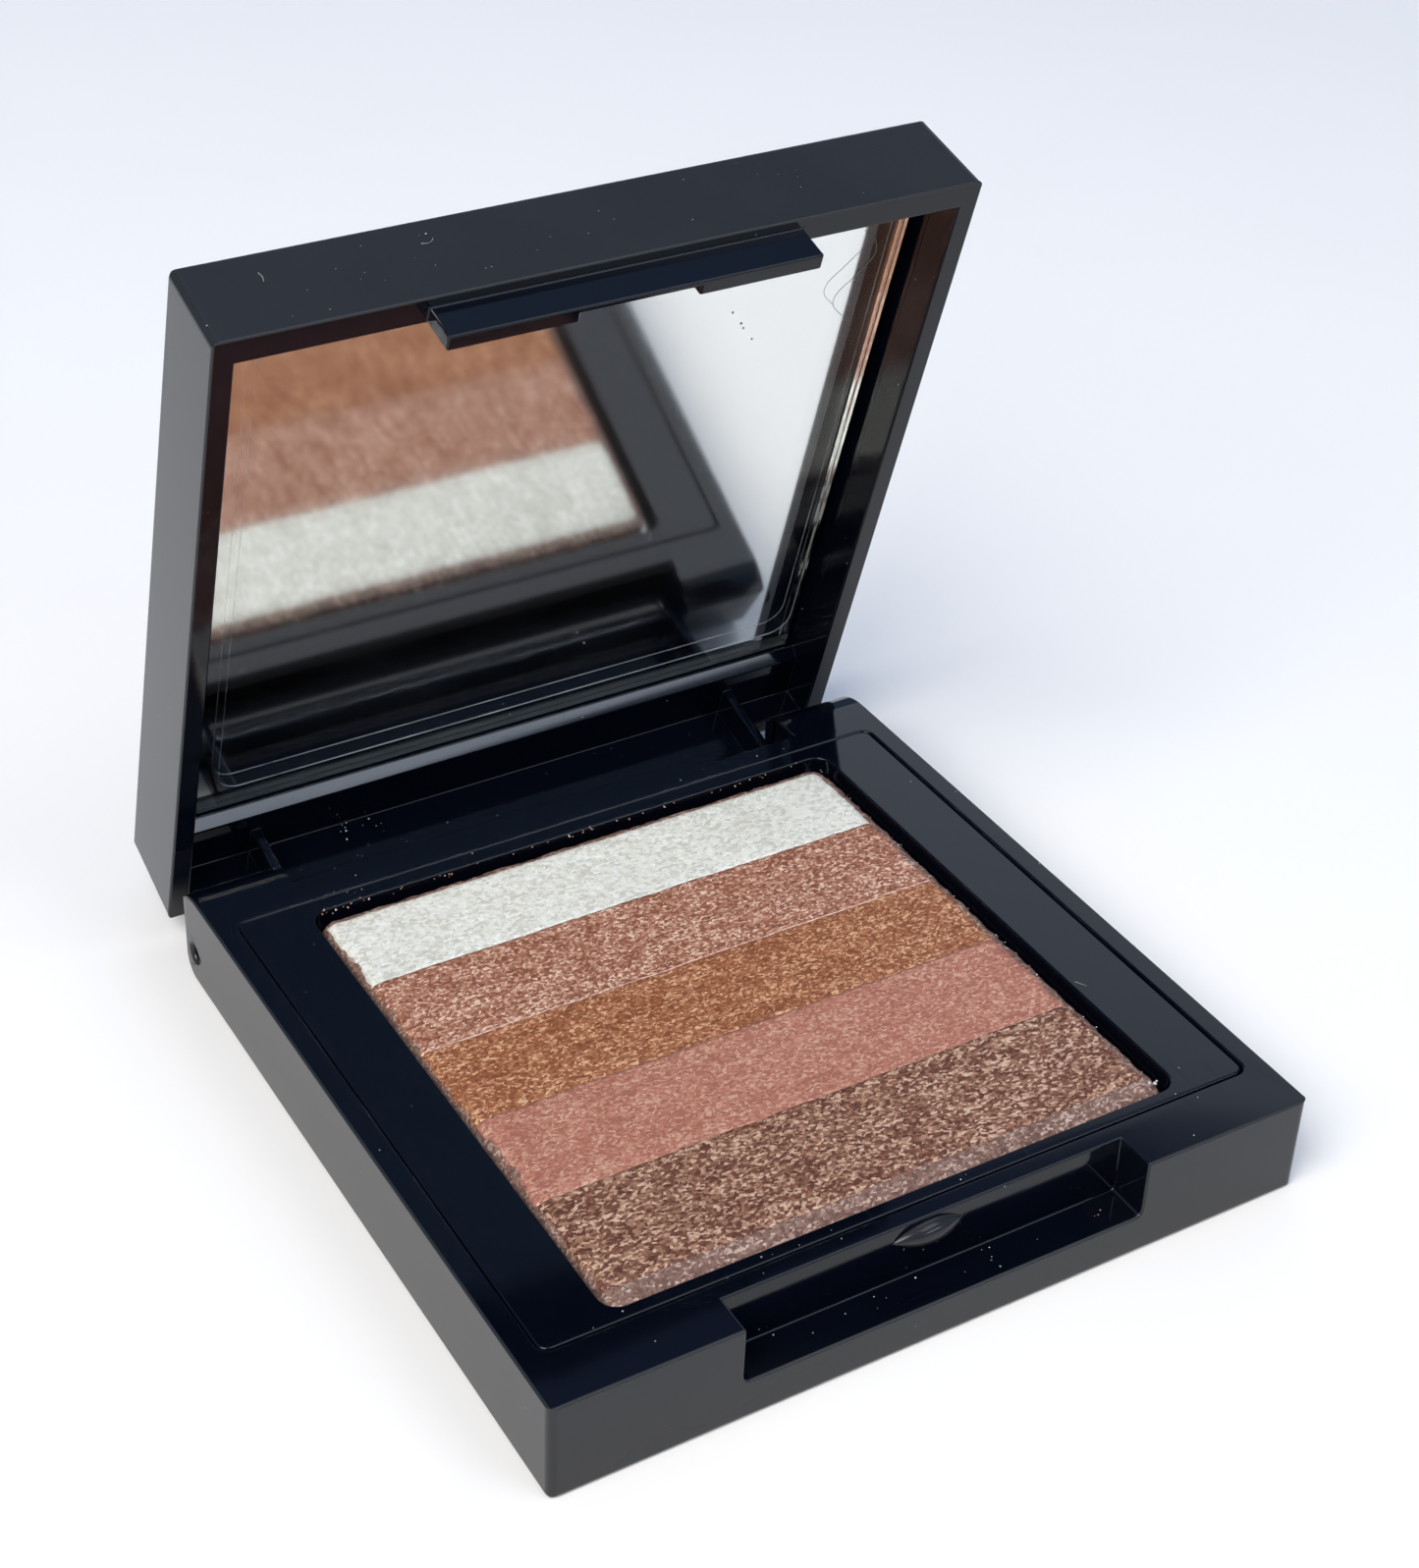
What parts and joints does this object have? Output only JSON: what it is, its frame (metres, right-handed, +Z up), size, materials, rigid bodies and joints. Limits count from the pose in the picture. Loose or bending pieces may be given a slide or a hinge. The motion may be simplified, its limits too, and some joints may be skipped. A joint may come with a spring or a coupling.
{
  "type": "eyeshadow palette",
  "caption": "Square black compact with a mirror in its hinged lid, a finger notch with a snap catch, and stripes of pressed shimmer powder.",
  "frame": {"origin": "centre of the base's bottom face, at the middle of the base's width and depth", "axes": "+Z up, -Y towards the finger notch in front, +X to the right along the hinge axis"},
  "size_m": [0.064, 0.0754, 0.0656],
  "materials": {
    "case_black": "high-gloss moulded black plastic",
    "deck_black": "high-gloss moulded black plastic",
    "pan_tin": "pressed sheet metal, bare",
    "glue": "set hot-melt dots",
    "powder_backing": "pressed powder, crumbly edge",
    "pearl_powder": "pressed pearl shimmer powder",
    "rose_powder": "pressed rose shimmer powder",
    "bronze_powder": "pressed bronze shimmer powder",
    "pink_powder": "pressed pink satin powder",
    "taupe_powder": "pressed taupe shimmer powder",
    "pin_steel": "ground steel wire",
    "label_paper": "blank matt sticker",
    "mirror_glass": "clear float glass",
    "mirror_silver": "silvered and painted back",
    "tape_foam": "double-sided foam pad",
    "film_clear": "clear protective film"
  },
  "bodies": {
    "base": {"base_shell": "case_black", "deck_tray": "deck_black", "pan": "pan_tin", "pan_glue": "glue", "powder_base": "powder_backing", "powder_pearl": "pearl_powder", "powder_rose": "rose_powder", "powder_bronze": "bronze_powder", "powder_pink": "pink_powder", "powder_taupe": "taupe_powder", "hinge_pin_left": "pin_steel", "hinge_pin_right": "pin_steel", "base_label": "label_paper"},
    "lid": {"lid_shell": "case_black", "mirror_glass": "mirror_glass", "mirror_silver": "mirror_silver", "mirror_tape": "tape_foam", "mirror_film": "film_clear"}
  },
  "joints": [
    {"name": "lid_hinge", "type": "hinge", "parent": "base", "child": "lid", "pos_m": [0, 0.02955, 0.00293], "axis": [-1, 0, 0], "range_deg": [-73.6, 18.4]}
  ]
}
